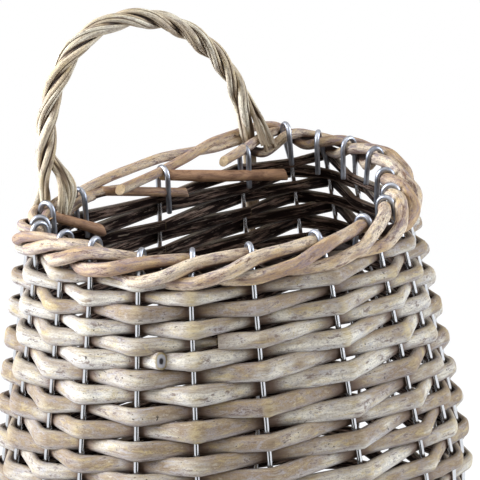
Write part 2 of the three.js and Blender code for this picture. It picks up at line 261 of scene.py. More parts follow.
# Rods of a strand: distance from its middle, angle round it and radius
SIX_THIN = tuple((1.7, turn, radius) for turn, radius in
                 ((0, 1.3), (1.05, 1.15), (2.1, 1.3), (3.15, 1.1), (4.2, 1.25), (5.25, 1.15)))
THICK_AND_THIN = ((0.5, 0, 2.4), (2.2, 2.6, 1.05), (2.2, 3.7, 1))
THREE_THIN = ((1.45, 0, 1.65), (1.45, 2.1, 1.45), (1.45, 4.2, 1.55))

# Each strand: its rods, how far the painted shade in the grooves between them reaches, and the shares of the
# arch at which it leaves at the left and right. Then each leg's stations from its tip, as share, offset from
# the wall and drop, and how far its rods spread at the tip and half way
STRANDS = (
    dict(rods=SIX_THIN, groove_shade_share=0.82, leave_shares=(0.07, 0.1),
         left=((0.869, -8, 11), (0.8695, -10.5, 3), (0.873, -10, -4), (0.8755, -6.5, -10)),
         left_spread=(0.45, 1.1),
         right=((0.1135, -8.5, 10), (0.1145, -7, 3), (0.114, -3.5, -6)),
         right_spread=(0.7, 0.6)),
    dict(rods=THICK_AND_THIN, groove_shade_share=0.5, leave_shares=(0.025, 0.1),
         left=((0.8635, 8.5, 15), (0.861, 8, 6), (0.86, 4, 1)),
         left_spread=(0.4, 0.4),
         right=((0.107, 8.5, 66), (0.107, 7, 24), (0.1035, 0.5, 2)),
         right_spread=(0.6, 0.5)),
    dict(rods=THREE_THIN, groove_shade_share=0.5, leave_shares=(0.03, 0.1),
         left=((0.861, 0, 14), (0.8605, 0.5, 4)),
         left_spread=(0.5, 0.5),
         right=((0.1, 8, 74), (0.1, 7.5, 28), (0.097, 0, 2)),
         right_spread=(0.6, 0.5)),
)

# Board
BOARD_THICKNESS = 6.0
BOARD_OVERHANG = 8.5
SEAT_GAP = 0.3

# Any rod: its rounded path, uneven section, knots, ends and grain
EASED_SPACING = 0.8
SWAY_WAVES = 4
WAVE_LENGTH_SHARES = (0.6, 1.8)
WAVE_HEIGHT_SHARES = (0.4, 1)
LOBES = (1, 2, 3, 5)
LOBE_SHARES = (0.5, 1)
LOBE_DRIFT = (1.2, 90)
SWELLING = (0.8, 26)
KNOT_SHARES = (0.1, 0.9)
KNOT_TURN = 0.9
KNOT_LENGTH = 3.5
KNOT_ANGLE = 0.6
KNOT_HEIGHT_SHARE = 0.14
GROOVE_SHADE_EDGE_SHARE = 0.25
END_INSET = 0.25
SLANT_TURN = 1.0
GRAIN_SHIFT = 400.0
SPLIT_START = 0.5
SPLIT_SLOPE = 12.0
# Width of the dark band along the edges of split rods: painted shade and dirt
SPLIT_EDGE = 0.3

# Camera of the photograph, in degrees, millimetres and pixels
CAMERA_AZIMUTH = -38.553
CAMERA_ELEVATION = 19.04
CAMERA_DISTANCE = 1491.126
CAMERA_TARGET = (0.005, -61.804, -28.146)
FOCAL_PIXELS = 2832.328
IMAGE_PIXELS = 480.0
SENSOR = 36.0
FARTHEST = 20000.0

# Lamps: turn from the camera, height in degrees, size, power and tint
LAMPS = {
    "left_lamp": (-80, 26, 800.0, 42, (0.9, 0.98, 1.13)),
    "right_lamp": (90, 22, 800.0, 19, (0.88, 0.98, 1.14)),
    "top_lamp": (0, 80, 900.0, 6, (1.0, 1.0, 1.0)),
}
LAMP_DISTANCE = 1500.0
AIM_HEIGHT_SHARE = 0.6

# Surroundings
WHITE = (1.0, 1.0, 1.0, 1.0)
FILL_COLOUR = (1.0, 0.93, 0.83, 1.0)
FILL_STRENGTH = 0.19
FLOOR_REACH = 6000.0
FLOOR_COLOUR = (0.9, 0.9, 0.9, 1.0)
FLOOR_FADE = (300.0, 800.0)
FLOOR_GLOW_SHARES = (0.85, 1.0)
CARD_TURN = 3.0
CARD_WIDTH = 450.0
CARD_HEIGHT = 340.0
CARD_DISTANCE = 450.0
CARD_COLOUR = (0.01, 0.01, 0.01, 1.0)

_, board_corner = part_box("base_board")
last_row_drop = FIRST_ROW_DROP + ROW_PITCH * (ROW_COUNT - 1)
hook_top = BOARD_THICKNESS + SEAT_GAP + ROD_HEIGHT / 2 + last_row_drop
board_drop = hook_top - BOARD_THICKNESS
level_drop = last_row_drop - LEVELLING_ROWS * ROW_PITCH
wall_line = board_corner.y * METRE - BOARD_OVERHANG
# The point that the lamps and the card face, in metres
aim = Vector((0, 0, hook_top / METRE * AIM_HEIGHT_SHARE))
# The stakes, with the last again before the first and the first again after the last
ringed_shares = (STAKE_SHARES[-1] - 1, *STAKE_SHARES, STAKE_SHARES[0] + 1)


# Paths

def unit(vectors):
    return vectors / np.linalg.norm(vectors, axis=-1, keepdims=True)


def smooth(share):
    """Nought to one with a soft start and end."""
    return share * share * (3 - 2 * share)


def lengths_along(path):
    """How far along the path each of its points is."""
    return np.concatenate([[0], np.cumsum(np.linalg.norm(np.diff(path, axis=0), axis=1))])


def headings(path):
    """The direction of a path at each of its points."""
    return unit(np.gradient(path, axis=0))


def nearest(path, point):
    """Which point of a path is the nearest to a point."""
    return np.argmin(np.linalg.norm(path - point, axis=1))


def between(places, stations, values):
    """The rows of values, which belong to the stations, read off at places between them."""
    return np.stack([np.interp(places, stations, column) for column in values.T], -1)


def spaced(path, spacing):
    """The path, resampled at even steps."""
    lengths = lengths_along(path)
    count = max(4, int(round(lengths[-1] / spacing)) + 1)
    return between(np.linspace(0, lengths[-1], count), lengths, path)


def eased(path, width):
    """The path with its corners rounded over about the given width."""
    fine = spaced(path, EASED_SPACING)
    reach = int(3 * width / EASED_SPACING) + 1
    kernel = np.exp(-0.5 * (np.arange(-reach, reach + 1) * EASED_SPACING / width) ** 2)
    kernel /= kernel.sum()
    start = 2 * fine[0] - fine[1:reach + 1][::-1]
    end = 2 * fine[-1] - fine[-reach - 1:-1][::-1]
    padded = np.concatenate([start, fine, end])
    return np.stack([np.convolve(padded[:, axis], kernel, "valid") for axis in range(3)], 1)


def folded(corners, bends, spacing):
    """A path with a sharp fold or a round bend at each corner, and the place of each point in corners."""
    legs = np.diff(corners, axis=0)
    spans = np.linalg.norm(legs, axis=1)
    legs = legs / spans[:, None]
    turns = np.concatenate([[1], np.sum(legs[1:] * legs[:-1], 1), [1]])
    bends = np.where(turns < SHARP_TURN, TIGHT_BEND, bends)
    bends[1:-1] = np.minimum(bends[1:-1], BEND_LEG_SHARE * np.minimum(spans[1:], spans[:-1]))
    bends[[0, -1]] = 0.0
    points = [corners[:1]]
    places = [[0.0]]
    for step, span in enumerate(spans):
        start, end = bends[step], bends[step + 1]
        count = max(2, int(round((span - start - end) / spacing)))
        shares = np.linspace(start / span, 1 - end / span, count + 1)[0 if start else 1:]
        points.append(corners[step] + (corners[step + 1] - corners[step]) * shares[:, None])
        places.append(step + shares)
        if not end:
            continue
        corner = corners[step + 1]
        if end <= FOLD:
            points.append(corner[None])
            places.append([step + 1])
            continue
        turn = np.linspace(0, 1, BEND_STEPS + 1)[1:-1, None]
        points.append(corner - legs[step] * end * (1 - turn) ** 2 + legs[step + 1] * end * turn**2)
        places.append(step + 1 + (turn[:, 0] - 0.5) * end / span)
    return np.concatenate(points), np.concatenate(places)


def sway(rng, lengths, size, wavelength):
    """A smooth random line of about the given size."""
    line = np.zeros_like(lengths)
    for _ in range(SWAY_WAVES):
        turn = 2 * math.pi / (wavelength * rng.uniform(*WAVE_LENGTH_SHARES))
        line += rng.uniform(*WAVE_HEIGHT_SHARES) * np.sin(turn * lengths + rng.uniform(0, 2 * math.pi))
    return size * line / math.sqrt(SWAY_WAVES)


def parallel_frames(path, seed):
    """Sideways directions carried along a path without twisting."""
    tangents = headings(path)
    side = np.cross(seed, tangents[0])
    sides = np.empty_like(path)
    for step, tangent in enumerate(tangents):
        side = side - tangent * np.dot(side, tangent)
        side /= np.linalg.norm(side)
        sides[step] = side
    return sides


def nearest_on(line, path):
    """The point of a line that is nearest to each point of a path."""
    return np.array([line[nearest(line, point)] for point in path])


# Wall of the basket

def size_at(drop, rim, shoulder, base, turn_in):
    """One size of the outline: a straight flare to the shoulder, then a round turn in to the board."""
    flare = (shoulder - rim) / SHOULDER_DROP
    if drop <= SHOULDER_DROP:
        return rim + flare * drop
    reach = board_drop - SHOULDER_DROP
    way = min(1.0, (drop - SHOULDER_DROP) / reach)
    return (shoulder * (2 * way**3 - 3 * way**2 + 1) + flare * reach * (way**3 - 2 * way**2 + way)
            + base * (3 * way**2 - 2 * way**3) + turn_in * reach * (way**3 - way**2))


@functools.cache
def outline_at(drop):
    """Points and lengths of the outline at a drop, from the middle of the back by the right side."""
    width = size_at(drop, RIM_WIDTH, SHOULDER_WIDTH, BASE_WIDTH, TURN_IN_WIDTH_SHARE)
    depth = size_at(drop, RIM_DEPTH, SHOULDER_DEPTH, BASE_DEPTH, TURN_IN_DEPTH_SHARE)
    back = BACK_HALF_SHARE * depth
    angle = np.linspace(-math.pi / 2, 1.5 * math.pi, OUTLINE_STEPS + 1)
    front = np.sin(angle) >= 0
    power = np.where(front, 2 / FRONT_ROUNDNESS, 2 / BACK_ROUNDNESS)
    across = np.sign(np.cos(angle)) * np.abs(np.cos(angle)) ** power
    along = np.abs(np.sin(angle)) ** power
    from_wall = np.where(front, back + (depth - back) * along, back * (1 - along))
    points = np.stack([width / 2 * across, wall_line - from_wall], 1)
    return points, lengths_along(points)


def place_at(share, drop):
    """Points of the wall in plan and their outward directions."""
    points, lengths = outline_at(round(drop, 3))
    length = np.mod(share, 1.0) * lengths[-1]
    place = between(length, lengths, points)
    before, after = (np.mod(length + step, lengths[-1]) for step in (-PLAN_REACH, PLAN_REACH))
    along = unit(between(after, lengths, points) - between(before, lengths, points))
    return place, np.stack([-along[..., 1], along[..., 0]], -1)


def rise_at(drop, place):
    """How much a level rises: the rim at its back right corner, the weaving at the back and at the front."""
    forward = (wall_line - place[..., 1]) / RIM_DEPTH
    side = place[..., 0] / (RIM_WIDTH / 2)
    near_wall = 1 - smooth(np.clip(forward / BACK_REACH_SHARE, 0, 1))
    if drop == 0:
        corner = np.clip((1 + side) / 2, 0, 1) ** 2
        return RIM_FRONT_RISE * forward + RIM_SIDE_RISE * side + RIM_CORNER_RISE * near_wall * corner
    to_level = min(1.0, max(0.0, (drop - level_drop) / (last_row_drop - level_drop)))
    across = np.clip((1 + side) / 2, 0, 1)
    back = BACK_RISE * near_wall * (BACK_RISE_LEFT_SHARE + (1 - BACK_RISE_LEFT_SHARE) * across)
    return (FRONT_RISE * forward + back) * (1 - to_level)


def hook_shift_at(share):
    """The lean of the hooks, even between one stake and the next."""
    shifts = np.array((HOOK_SHIFTS[-1], *HOOK_SHIFTS, HOOK_SHIFTS[0]), float)
    return between(np.mod(share, 1.0), ringed_shares, shifts)


def level_point(share, drop):
    """Point of the wall on the level of a row or, with no drop, on the uneven line of the hooks."""
    place, _ = place_at(share, drop)
    level = np.concatenate([place, (hook_top - drop + rise_at(drop, place))[..., None]], -1)
    return level + hook_shift_at(share) if drop == 0 else level


def wall_point(share, drop, offset=0.0):
    """Point of the wall, straight from the rim to the first row, moved outward by an offset."""
    share = np.asarray(share, float)
    _, outward = place_at(share, min(drop, FIRST_ROW_DROP))
    point = level_point(share, max(drop, FIRST_ROW_DROP))
    if drop < FIRST_ROW_DROP:
        rim = level_point(share, 0)
        point = rim + (point - rim) * (drop / (rim[..., 2:] - point[..., 2:]))
    point = point.copy()
    point[..., :2] += outward * offset
    return point


def wall_path(stations):
    """Points of the wall at stations of share, offset and drop."""
    return np.array([wall_point(share, drop, offset) for share, offset, drop in stations])


# Rods

def linked(name, data):
    """A new object of the scene."""
    made = bpy.data.objects.new(name, data)
    bpy.context.scene.collection.objects.link(made)
    return made


def swelling(rng, lengths, angle, ridge, knots):
    """How the section of a rod swells along it and round it: low ridges, and a few knots."""
    wave = np.zeros((len(lengths), len(angle)))
    for lobes in LOBES:
        drift = sway(rng, lengths, *LOBE_DRIFT)[:, None] + rng.uniform(0, 2 * math.pi)
        wave += np.cos(lobes * angle[None] + drift) * rng.uniform(*LOBE_SHARES)
    wave += sway(rng, lengths, *SWELLING)[:, None]
    swell = 1 + ridge * wave
    for _ in range(knots):
        spot = rng.uniform(*KNOT_SHARES) * lengths[-1]
        turn = rng.uniform(-KNOT_TURN, KNOT_TURN)
        away = ((lengths[:, None] - spot) / KNOT_LENGTH) ** 2
        away = away + (np.angle(np.exp(1j * (angle[None] - turn))) / KNOT_ANGLE) ** 2
        swell += KNOT_HEIGHT_SHARE * np.exp(-away)
    return swell


def capped(values):
    """Values along a rod, with the first and the last again for its cut ends."""
    return np.concatenate([values[:1], values, values[-1:]])


def tube_faces(start, rounds, sides):
    """Quads between the rounds of a tube, and a fan at each end about its middle point."""
    rows = np.arange(rounds - 1)[:, None] * sides
    around = np.arange(sides)[None]
    near = (rows + around).ravel() + start
    turned = (rows + (around + 1) % sides).ravel() + start
    faces = np.stack([near, turned, turned + sides, near + sides], 1).tolist()
    cap = start + rounds * sides
    final = cap - sides
    for side in range(sides):
        other = (side + 1) % sides
        faces.append([cap, start + other, start + side])
        faces.append([cap + 1, final + side, final + other])
    return faces


class Rods:
    """The rods of one piece, gathered into one mesh with its grain kept as attributes."""

    def __init__(self):
        self.points = []
        self.faces = []
        self.data = {}
        self.count = 0

    def add(self, path, sideways, across, tall, rng, sides=16, stain=0.0, fold=0.0, ridge=0.03, knots=0,
            flat_share=1.0, square_share=1.0, end_share=0.94, bark=0.0, cores=(), slant=0.0, pith=1.0):
        """Sweeps a section along a path. sideways is its outward direction, across and tall its half sizes.

        stain is how dark each point gets, from stains and from painted shade. cores are middle lines of
        bundles that the rod lies in, each with the reach of the painted shade in its groove and with how
        strong it is along the rod. What faces them gets that painted shade. slant is how far the cut ends
        lean, and pith is 1 for a plain cut end and 2 for one with a dark middle.
        """
        steps = len(path)
        lengths = lengths_along(path)
        tangents = headings(path)
        outward = unit(sideways - tangents * np.sum(sideways * tangents, 1)[:, None])
        upward = np.cross(tangents, outward)
        angle = 2 * math.pi * (np.arange(sides) + 0.5) / sides
        swell = swelling(rng, lengths, angle, ridge, knots)
        out = np.cos(angle)
        out = np.sign(out) * np.abs(out) ** square_share * np.where(out < 0, flat_share, 1)
        ups = np.sign(np.sin(angle)) * np.abs(np.sin(angle)) ** square_share
        spokes = (outward[:, None] * (out[None] * across[:, None])[..., None]
                  + upward[:, None] * (ups[None] * tall[:, None])[..., None]) * swell[..., None]
        rings = path[:, None] + spokes
        stained = np.broadcast_to(np.atleast_2d(np.asarray(stain, float)).reshape(-1, 1), (steps, sides))
        # Painted shade on the faces that look towards the middle line of a bundle, kept with the stains
        for core, reach, strength in cores:
            depth = np.linalg.norm(rings - core[:, None], axis=2)
            groove = np.clip((reach - depth) / (GROOVE_SHADE_EDGE_SHARE * reach), 0, 1)
            stained = np.maximum(stained, groove * strength[:, None])

        first, last = (rings[end] - spokes[end] * (1 - end_share) for end in (0, -1))
        rings = np.concatenate([first[None], rings, last[None]])
        rounds = steps + 2
        slope = (slant * (1 + np.cos(angle + SLANT_TURN)))[:, None]
        rings[:2] -= tangents[0] * slope * across[0]
        rings[-2:] += tangents[-1] * slope * across[-1]
        rings[0] -= tangents[0] * END_INSET
        rings[-1] += tangents[-1] * END_INSET
        self.points += [rings.reshape(-1, 3), np.stack([rings[0].mean(0), rings[-1].mean(0)])]
        self.faces += tube_faces(self.count, rounds, sides)
        self.count += rounds * sides + 2

        size = (across + tall).mean() / 2
        shift = rng.uniform(0, GRAIN_SHIFT)
        tone = rng.uniform(-1, 1)
        grain = np.stack(np.broadcast_arrays(
            capped(lengths)[:, None] + shift, np.cos(angle) * size + shift, np.sin(angle) * size), -1)
        tips = np.array([[shift, shift, 0], [lengths[-1] + shift, shift, 0]])
        self.data.setdefault("grain", []).append(np.concatenate([grain.reshape(-1, 3), tips]))
        is_split = flat_share < 1
        cut = np.zeros((rounds, 1))
        cut[[0, -1]] = 1.0
        values = {
            "tone": (tone, tone),
            "split": (np.clip(-out * SPLIT_SLOPE - SPLIT_START, 0, 1) * is_split, 0.0),
            "stain": (capped(stained), 0.0),
            "fold": (capped(np.broadcast_to(fold, steps))[:, None], 0.0),
            "cut": (cut, pith),
            # Top and bottom edges of split rods, for painted shade where rows meet and for dirt
            "edge": (np.exp(-(np.cos(angle) / SPLIT_EDGE) ** 2) * is_split, 0.0),
            "bark": (bark, bark),
            # How far the surface faces up: it sets painted shading, tan on tops and cool on undersides
            "high": (capped(upward)[:, 2:] * np.sin(angle), 0.0),
        }
        for name, (value, at_tip) in values.items():
            around = np.broadcast_to(value, (rounds, sides)).ravel()
            self.data.setdefault(name, []).append(np.concatenate([around, [at_tip] * 2]))

    def add_round(self, path, seed, radius, rng, **settings):
        """Sweeps a round section along a path, from a seed for its first sideways direction."""
        self.add(path, parallel_frames(path, np.array(seed)), radius, radius, rng, **settings)

    def finish(self, node, ending, material, slot):
        """Makes the object, which rides on the basket and stands for its node."""
        name = node + ending
        mesh = bpy.data.meshes.new(name)
        mesh.from_pydata((np.concatenate(self.points) / METRE).tolist(), [], self.faces)
        for key, parts in self.data.items():
            values = np.concatenate(parts).astype(np.float32)
            kind, field = ("FLOAT_VECTOR", "vector") if key == "grain" else ("FLOAT", "value")
            mesh.attributes.new(key, kind, "POINT").data.foreach_set(field, values.ravel())
        mesh.polygons.foreach_set("use_smooth", [len(face) > 3 for face in self.faces])
        mesh.materials.append(material)
        mesh.update()
        piece = linked(name, mesh)
        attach(piece, "root")
        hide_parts(node)


# Materials

def linear(colour):
    """A colour given from 0 to 255 as seen on a screen, as linear light. A socket stays as it is."""
    if isinstance(colour, bpy.types.NodeSocket):
        return colour
    parts = (value / 255 for value in colour)
    light = [part / 12.92 if part <= 0.04045 else ((part + 0.055) / 1.055) ** 2.4 for part in parts]
    return (*light, 1.0)


class Net:
    """The nodes of a material or of the world, built up by short calls."""

    def __init__(self, owner):
        owner.use_nodes = True
        self.tree = owner.node_tree
        self.tree.nodes.clear()

    def node(self, kind, inputs=(), **settings):
        """A new node with its settings and inputs."""
        made = self.tree.nodes.new(kind)
        for key, value in settings.items():
            setattr(made, key, value)
        self.put(made, inputs)
        return made

    def put(self, node, inputs):
        """Sets or links inputs of a node by name or number."""
        for key, value in dict(inputs).items():
            if isinstance(value, bpy.types.NodeSocket):
                self.tree.links.new(value, node.inputs[key])
            else:
                node.inputs[key].default_value = value

    def out(self, kind, output, inputs=(), **settings):
        """An output of a new node, by name or number."""
        return self.node(kind, inputs, **settings).outputs[output]

    def attribute(self, name, output="Fac"):
        return self.out("ShaderNodeAttribute", output, attribute_name=name)

    def math(self, operation, first, second=0.0, clamp=False):
        return self.out("ShaderNodeMath", 0, {0: first, 1: second}, operation=operation, use_clamp=clamp)

    def times(self, first, second, clamp=False):
        return self.math("MULTIPLY", first, second, clamp)

    def noise(self, vector, along, around, detail=4.0, roughness=0.6, scale=1.0, distortion=0.0):
        """Noise with its own scale along the grain and round it."""
        scales = {0: vector, 1: (along, around, around)}
        return self.out("ShaderNodeTexNoise", "Fac", {
            "Vector": self.out("ShaderNodeVectorMath", 0, scales, operation="MULTIPLY"),
            "Scale": scale, "Detail": detail, "Roughness": roughness, "Distortion": distortion})

    def ramp(self, value, low, high, to_low=0.0, to_high=1.0, shape="SMOOTHSTEP"):
        limits = {"Value": value, "From Min": low, "From Max": high, "To Min": to_low, "To Max": to_high}
        return self.out("ShaderNodeMapRange", "Result", limits, interpolation_type=shape)

    def mix(self, share, first, second):
        inputs = {"Factor": share, 6: linear(first), 7: linear(second)}
        return self.out("ShaderNodeMix", 2, inputs, data_type="RGBA")

    def layered(self, base, *layers):
        """The base under layers, each a pattern, where it starts and is full, its strength and colour."""
        for pattern, low, high, strength, tint in layers:
            base = self.mix(self.times(self.ramp(pattern, low, high), strength), base, tint)
        return base

    def bump(self, height, strength, distance, **normal):
        inputs = {"Height": height, "Strength": strength, "Distance": distance}
        return self.out("ShaderNodeBump", "Normal", {**inputs, **normal})

    def show(self, output, share, first, second):
        """Shows one shader or, by a share, another."""
        mixed = self.out("ShaderNodeMixShader", 0, {0: share, 1: first, 2: second})
        self.node(output, {"Surface": mixed})


def painted(name):
    """A new material, its net of nodes and its shader."""
    material = bpy.data.materials.new(name)
    net = Net(material)
    shader = net.node("ShaderNodeBsdfPrincipled")
    net.node("ShaderNodeOutputMaterial", {"Surface": shader.outputs["BSDF"]})
    return material, net, shader


BARK_PALE = (178, 136, 100)
BARK_MID = (122, 86, 60)
BARK_DARK = (80, 54, 38)
SPLIT_FLAKE = (190, 172, 152)
WIRE_BRIGHT = ((214, 217, 222), (230, 232, 236))
WIRE_MATT = ((118, 120, 127), (178, 180, 186))
PLY_PALE = (190, 172, 146)
PLY_DARK = (132, 112, 90)
PLY_GREY = (150, 142, 140)
PLY_GLUE = (96, 74, 54)
PLY_THICKNESS = 2.0


def willow(name, patches, grime, pale, mid, warm, cool, brown, dark, split_pale, split_dark):
    """Weathered willow: mottled and streaked outside, with painted shading of tan tops and cool undersides,
    dark split edges from painted shade and dirt, and brown and dark from stains and painted shade where it
    goes in or lies in a crevice. Fibrous where it is split.
    """
    material, net, shader = painted(name)
    grain = net.attribute("grain", "Vector")
    high = net.attribute("high")
    is_split = net.attribute("split")
    fibre = net.noise(grain, 0.08, 1.5, detail=5.0, roughness=0.7)
    streak = net.noise(grain, 0.045, 0.6, detail=3.0)
    fine = net.noise(grain, 1.0, 2.4, roughness=0.75)
    blotch = net.noise(grain, 0.12, 0.45, detail=7.0, roughness=0.8)
    flake = net.noise(grain, 0.1, 1.3, detail=3.0, roughness=0.7)
    broad = net.noise(grain, 0.03, 0.12, detail=3.0)
    cloud = net.noise(grain, 0.06, 0.22, scale=1.3, detail=6.0, roughness=0.7, distortion=0.8)
    speck = net.noise(grain, 0.5, 0.9, detail=1.0)

    lightness = net.math("ADD", broad, net.times(net.attribute("tone"), 0.12))
    base = net.layered(
        net.mix(net.ramp(lightness, 0.36, 0.64), mid, pale),
        (cloud, 0.52, 0.62, 0.55, warm),
        # Painted shading by which way the surface faces: tan on the tops, cool grey on the undersides
        (high, -0.1, 0.8, 0.55, mid),
        (high, -0.1, -0.85, 0.45, cool),
        (cloud, 0.4 + 0.1 * patches, 0.36, patches, cool),
        (streak, 0.5, 0.36, 0.34, brown),
        (fibre, 0.5, 0.36, 0.3, brown),
        (fine, 0.48, 0.64, 0.5, brown),
        (blotch, 0.5, 0.57, 0.5 * grime, cool),
        (blotch, 0.55, 0.61, grime, brown),
        (blotch, 0.42, 0.33, 0.4, pale))
    spots = net.times(net.ramp(speck, 0.7, 0.73), net.ramp(broad, 0.5, 0.56))
    base = net.mix(net.times(spots, 0.85), base, dark)
    base = net.mix(net.times(net.attribute("fold"), net.ramp(blotch, 0.42, 0.58, 0.0, 0.6)), base, warm)

    bark = net.mix(net.ramp(cloud, 0.36, 0.62), BARK_MID, BARK_PALE)
    base = net.mix(net.attribute("bark"), base, net.layered(bark, (fibre, 0.52, 0.68, 0.5, BARK_DARK)))
    # Darker along the top and bottom edges of split rods: painted shade where rows meet, and dirt
    base = net.mix(net.times(net.attribute("edge"), net.ramp(fine, 0.34, 0.56, 0.35, 0.95)), base, dark)
    # Brown, then dark: stains, and painted shade where rods go in behind stakes, lie in crevices or face the
    # wall
    stain = net.times(net.attribute("stain"), net.ramp(streak, 0.3, 0.65, 0.75, 1.15), clamp=True)
    base = net.mix(net.ramp(stain, 0.0, 0.5), base, brown)
    base = net.mix(net.ramp(stain, 0.3, 0.95), base, dark)

    split = net.mix(net.ramp(streak, 0.45, 0.68), split_dark, split_pale)
    split = net.mix(net.ramp(fibre, 0.54, 0.42), split, split_dark)
    base = net.mix(is_split, base, net.layered(split, (flake, 0.6, 0.68, 0.5, SPLIT_FLAKE)))

    cut = net.attribute("cut")
    base = net.layered(
        base,
        (cut, 0.5, 1.0, 0.45, warm),
        (cut, 1.1, 1.3, 1.0, cool),
        (cut, 1.5, 1.75, 1.0, split_dark))
    ridges = net.times(net.math("ADD", fibre, streak), net.math("ADD", net.times(is_split, 2.5), 0.55))
    normal = net.bump(net.math("SUBTRACT", ridges, spots), 0.6, 0.0005)
    net.put(shader, {
        "Base Color": base,
        "Roughness": net.ramp(fibre, 0.3, 0.7, 0.64, 0.84),
        "Specular IOR Level": net.ramp(is_split, 0.0, 1.0, 0.45, 0.08),
        "Normal": net.bump(fine, 0.4, 0.0003, Normal=normal)})
    return material


def galvanised(name):
    """Bright galvanised wire, duller at the hooks."""
    material, net, shader = painted(name)
    # On the wire this value holds only how dull the zinc is at the hooks, its own finish
    dull = net.attribute("stain")
    cloud = net.noise(net.attribute("grain", "Vector"), 0.12, 0.5)
    bright, matt = (net.mix(net.ramp(cloud, 0.3, 0.7), *tints) for tints in (WIRE_BRIGHT, WIRE_MATT))
    roughness = net.math("ADD", net.times(dull, 0.24), net.ramp(cloud, 0.2, 0.8, 0.12, 0.18))
    net.put(shader, {"Base Color": net.mix(dull, bright, matt), "Metallic": 1.0, "Roughness": roughness})
    return material


def plywood(name):
    """Plywood with its grain along the board, and its layers at the edge."""
    material, net, shader = painted(name)
    spot = net.out("ShaderNodeTexCoord", "Object")
    lines = net.noise(spot, 30.0, 900.0, detail=6.0, roughness=0.65)
    broad = net.noise(spot, 8.0, 40.0, detail=3.0)
    heights = []
    for vector in (spot, net.out("ShaderNodeNewGeometry", "Normal")):
        heights.append(net.out("ShaderNodeSeparateXYZ", "Z", {0: vector}))
    layer = net.math("MODULO", net.times(heights[0], METRE / PLY_THICKNESS), 1.0)
    edge = net.ramp(net.math("ABSOLUTE", heights[1]), 0.6, 0.3)
    base = net.mix(net.ramp(lines, 0.35, 0.68), PLY_DARK, PLY_PALE)
    base = net.layered(base, (broad, 0.5, 0.7, 0.4, PLY_GREY))
    base = net.mix(net.times(net.times(net.ramp(layer, 0.45, 0.55), edge), 0.6), base, PLY_GLUE)
    net.put(shader, {"Base Color": base, "Roughness": 0.82, "Normal": net.bump(lines, 0.3, 0.0003)})
    return material


# The body's split faces line the inside of the basket: split_pale and split_dark hold painted shade of the
# inside on top of the split wood's own dark colour, and split_dark is also the stub's dark pith
body_willow = willow(
    "body_willow", patches=0.5, grime=0.8, pale=(224, 216, 197), mid=(150, 129, 101), warm=(206, 183, 124),
    cool=(177, 174, 177), brown=(108, 84, 66), dark=(48, 35, 27), split_pale=(156, 130, 114),
    split_dark=(20, 7, 4))
rim_willow = willow(
    "rim_willow", patches=0.8, grime=1.0, pale=(234, 215, 184), mid=(178, 146, 110), warm=(220, 188, 130),
    cool=(132, 118, 128), brown=(118, 88, 66), dark=(50, 34, 26), split_pale=(150, 120, 90),
    split_dark=(58, 40, 30))
handle_willow = willow(
    "handle_willow", patches=0.6, grime=0.6, pale=(248, 237, 210), mid=(212, 190, 155), warm=(220, 196, 142),
    cool=(150, 136, 128), brown=(118, 96, 72), dark=(48, 34, 26), split_pale=(160, 136, 106),
    split_dark=(70, 50, 36))
wire_metal = galvanised("galvanised_wire")


# Stakes

def hook_points(share):
    """The wire from the rim up and over into its hook, and the way out from the wall."""
    shoulder = wall_point(share, RIM_HOOK_DROP)
    _, outward = place_at(np.asarray(share), RIM_HOOK_DROP)
    out = np.array([outward[0], outward[1], 0.0])
    up = np.array([0.0, 0.0, RIM_HOOK_DROP - WIRE_RADIUS])
    angles = math.pi * np.arange(HOOK_STEPS + 1) / HOOK_STEPS
    points = [shoulder + out * HOOK_REACH * (math.cos(turn) - 1) + up * math.sin(turn) for turn in angles]
    return points, out


def stakes():
    """The wires, from the board up the wall and over into hooks with their tails inside."""
    drops = np.concatenate([np.linspace(board_drop, SHOULDER_DROP, LOWER_STEPS + 1),
                            np.linspace(SHOULDER_DROP, FIRST_ROW_DROP, UPPER_STEPS + 1)[1:]])
    for number, share in enumerate(STAKE_SHARES):
        rng = np.random.RandomState(STAKE_SEED + number)
        foot = wall_point(share, board_drop)
        hook, out = hook_points(share)
        tail = HOOK_TAIL + rng.uniform(*TAIL_SPREAD)
        along = np.array([-out[1], out[0], 0])
        lean = out * rng.uniform(*TAIL_LEAN_OUT) + along * rng.uniform(*TAIL_LEAN_ALONG)
        path = [np.array([foot[0], foot[1], FOOT_HEIGHT])]
        path += [wall_point(share, drop) for drop in drops]
        path += hook
        path.append(hook[-1] + np.array([0, 0, -tail]) + lean)
        path = spaced(eased(np.array(path), WIRE_BEND), WIRE_SPACING)
        height = path[:, 2]
        dull = np.clip((height - (hook_top - DULL_DROP)) / DULL_FADE, 0, 1)
        dull[np.argmax(height):] = 1.0
        radius = np.full(len(path), WIRE_RADIUS)
        rods = Rods()
        rods.add_round(path, WIRE_SIDE, radius, rng, sides=14, stain=dull, ridge=0.0,
                       end_share=WIRE_END_SHARE)
        rods.finish(f"wire_stake_{number + 1:02d}", "_drawn", wire_metal, "galvanised_wire")


# Woven rows

def row_corners(row):
    """The corners of a row in plan, one at each stake: outside one stake and inside the next."""
    drop = FIRST_ROW_DROP + ROW_PITCH * row
    shares = np.array(STAKE_SHARES)
    place, outward = place_at(shares, drop)
    side = np.where((np.arange(len(shares)) + row) % 2 == 0, 1.0, -1.0)
    clear = WIRE_RADIUS + WOVEN_CLEARANCE + ROD_THICKNESS / 2
    offset = np.full(len(shares), clear)
    for _ in range(CLEARING_ROUNDS):
        corner = place + outward * (side * offset)[:, None]
        gaps = []
        for step in (-1, 1):
            along = unit(np.roll(corner, -step, axis=0) - corner)
            away = place - corner
            gaps.append(np.abs(away[:, 0] * along[:, 1] - away[:, 1] * along[:, 0]))
        offset += clear - np.minimum(*gaps)
    return place + outward * (side * offset)[:, None], side


